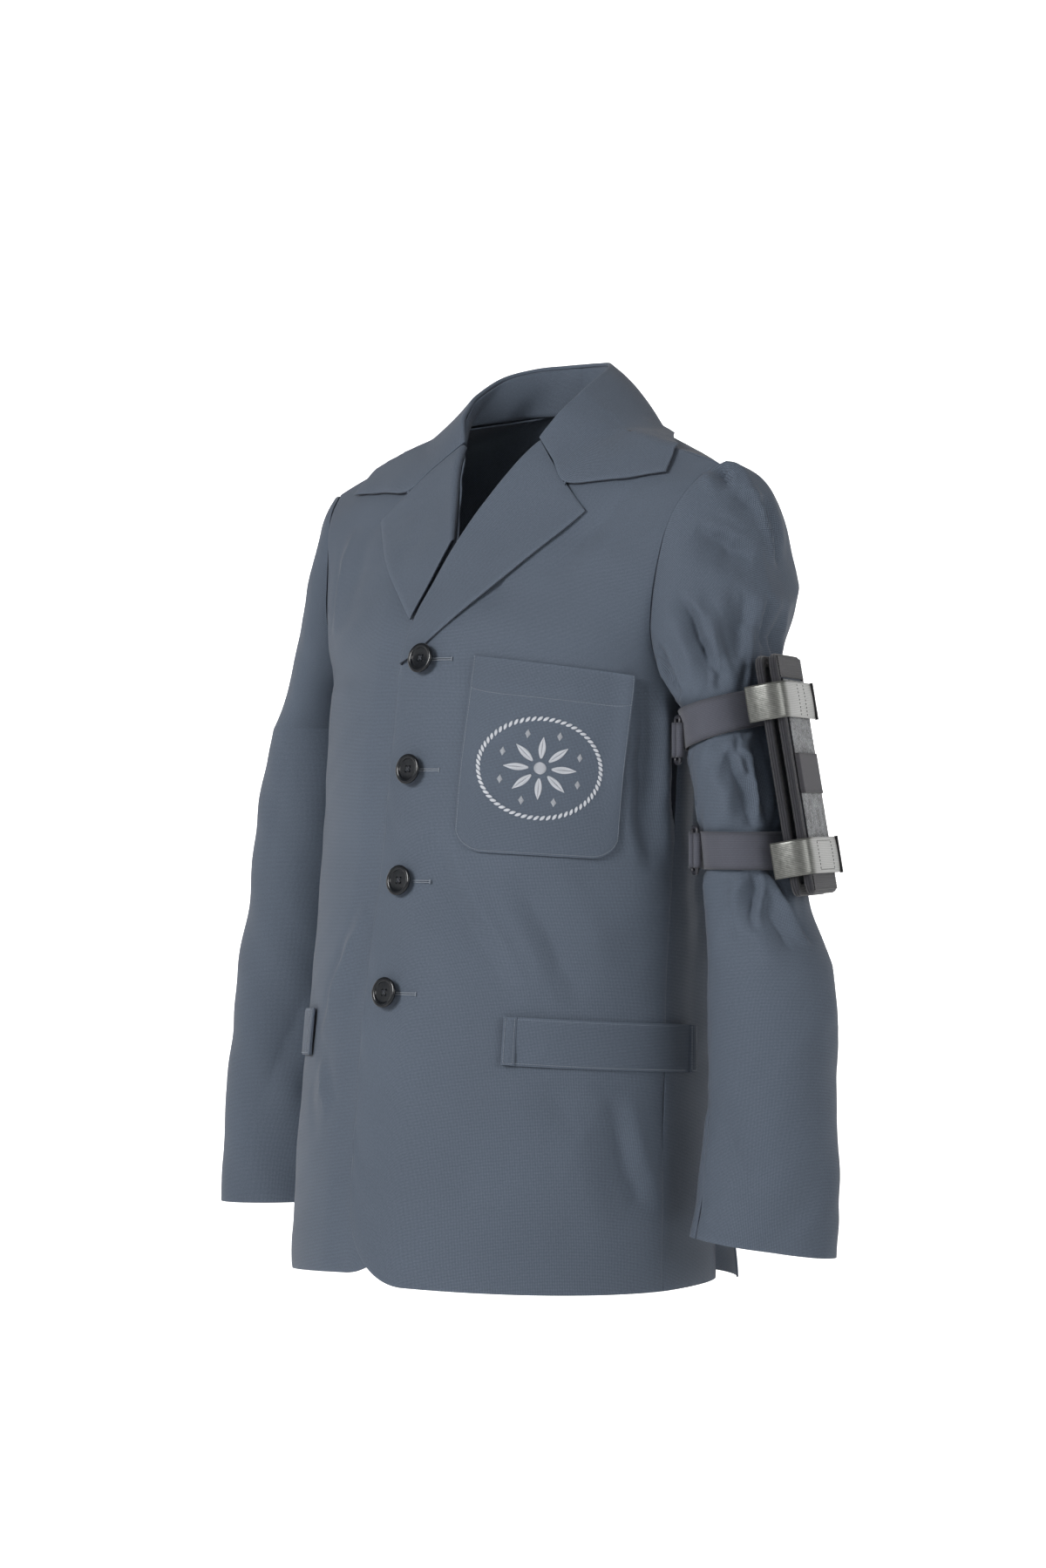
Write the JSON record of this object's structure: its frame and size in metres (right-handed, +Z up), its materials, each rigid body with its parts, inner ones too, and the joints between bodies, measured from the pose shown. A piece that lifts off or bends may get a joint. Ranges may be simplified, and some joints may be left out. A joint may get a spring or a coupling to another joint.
{
  "type": "tailored jacket",
  "caption": "Hip-length single-breasted tailored jacket with notch lapels, patch pockets, side vents and a pouch strapped round the left sleeve.",
  "frame": {"origin": "on the body's axis at the level of the neck points, where the shoulder seams meet the collar and the jacket hangs from the wearer", "axes": "+Z up, the wearer faces -Y and the wearer's left is +X"},
  "size_m": [0.6106, 0.3082, 0.7375],
  "materials": {
    "cloth": "matt, fine smooth weave",
    "webbing": "matt, fine ribs",
    "loop_pile": "matt heathered loop pile",
    "satin_tape": "satin, cross-ribbed",
    "button_resin": "glossy"
  },
  "bodies": {
    "root": {"back_left": "cloth", "back_right": "cloth", "bar_ring_lower": "webbing", "bar_ring_upper": "webbing", "button_1": "button_resin", "button_2": "button_resin", "button_3": "button_resin", "button_4": "button_resin", "chest_pocket": "cloth", "collar_fall": "cloth", "collar_stand": "cloth", "front_left": "cloth", "front_right": "cloth", "lapel_left": "cloth", "lapel_right": "cloth", "low_pocket_left": "cloth", "low_pocket_left_end_front": "cloth", "low_pocket_left_end_side": "cloth", "low_pocket_right": "cloth", "low_pocket_right_end_front": "cloth", "low_pocket_right_end_side": "cloth", "pouch_back_leaf": "webbing", "pouch_elastic": "webbing", "pouch_end_bottom": "webbing", "pouch_end_top": "webbing", "pouch_front_leaf": "webbing", "pouch_loop_panel": "loop_pile", "side_left": "cloth", "side_right": "cloth", "sleeve_left_under": "cloth", "sleeve_left_upper": "cloth", "sleeve_right_under": "cloth", "sleeve_right_upper": "cloth", "tab_lower": "satin_tape", "tab_tip_lower": "webbing", "tab_tip_upper": "webbing", "tab_upper": "satin_tape", "webbing_lower": "webbing", "webbing_upper": "webbing"}
  },
  "joints": []
}
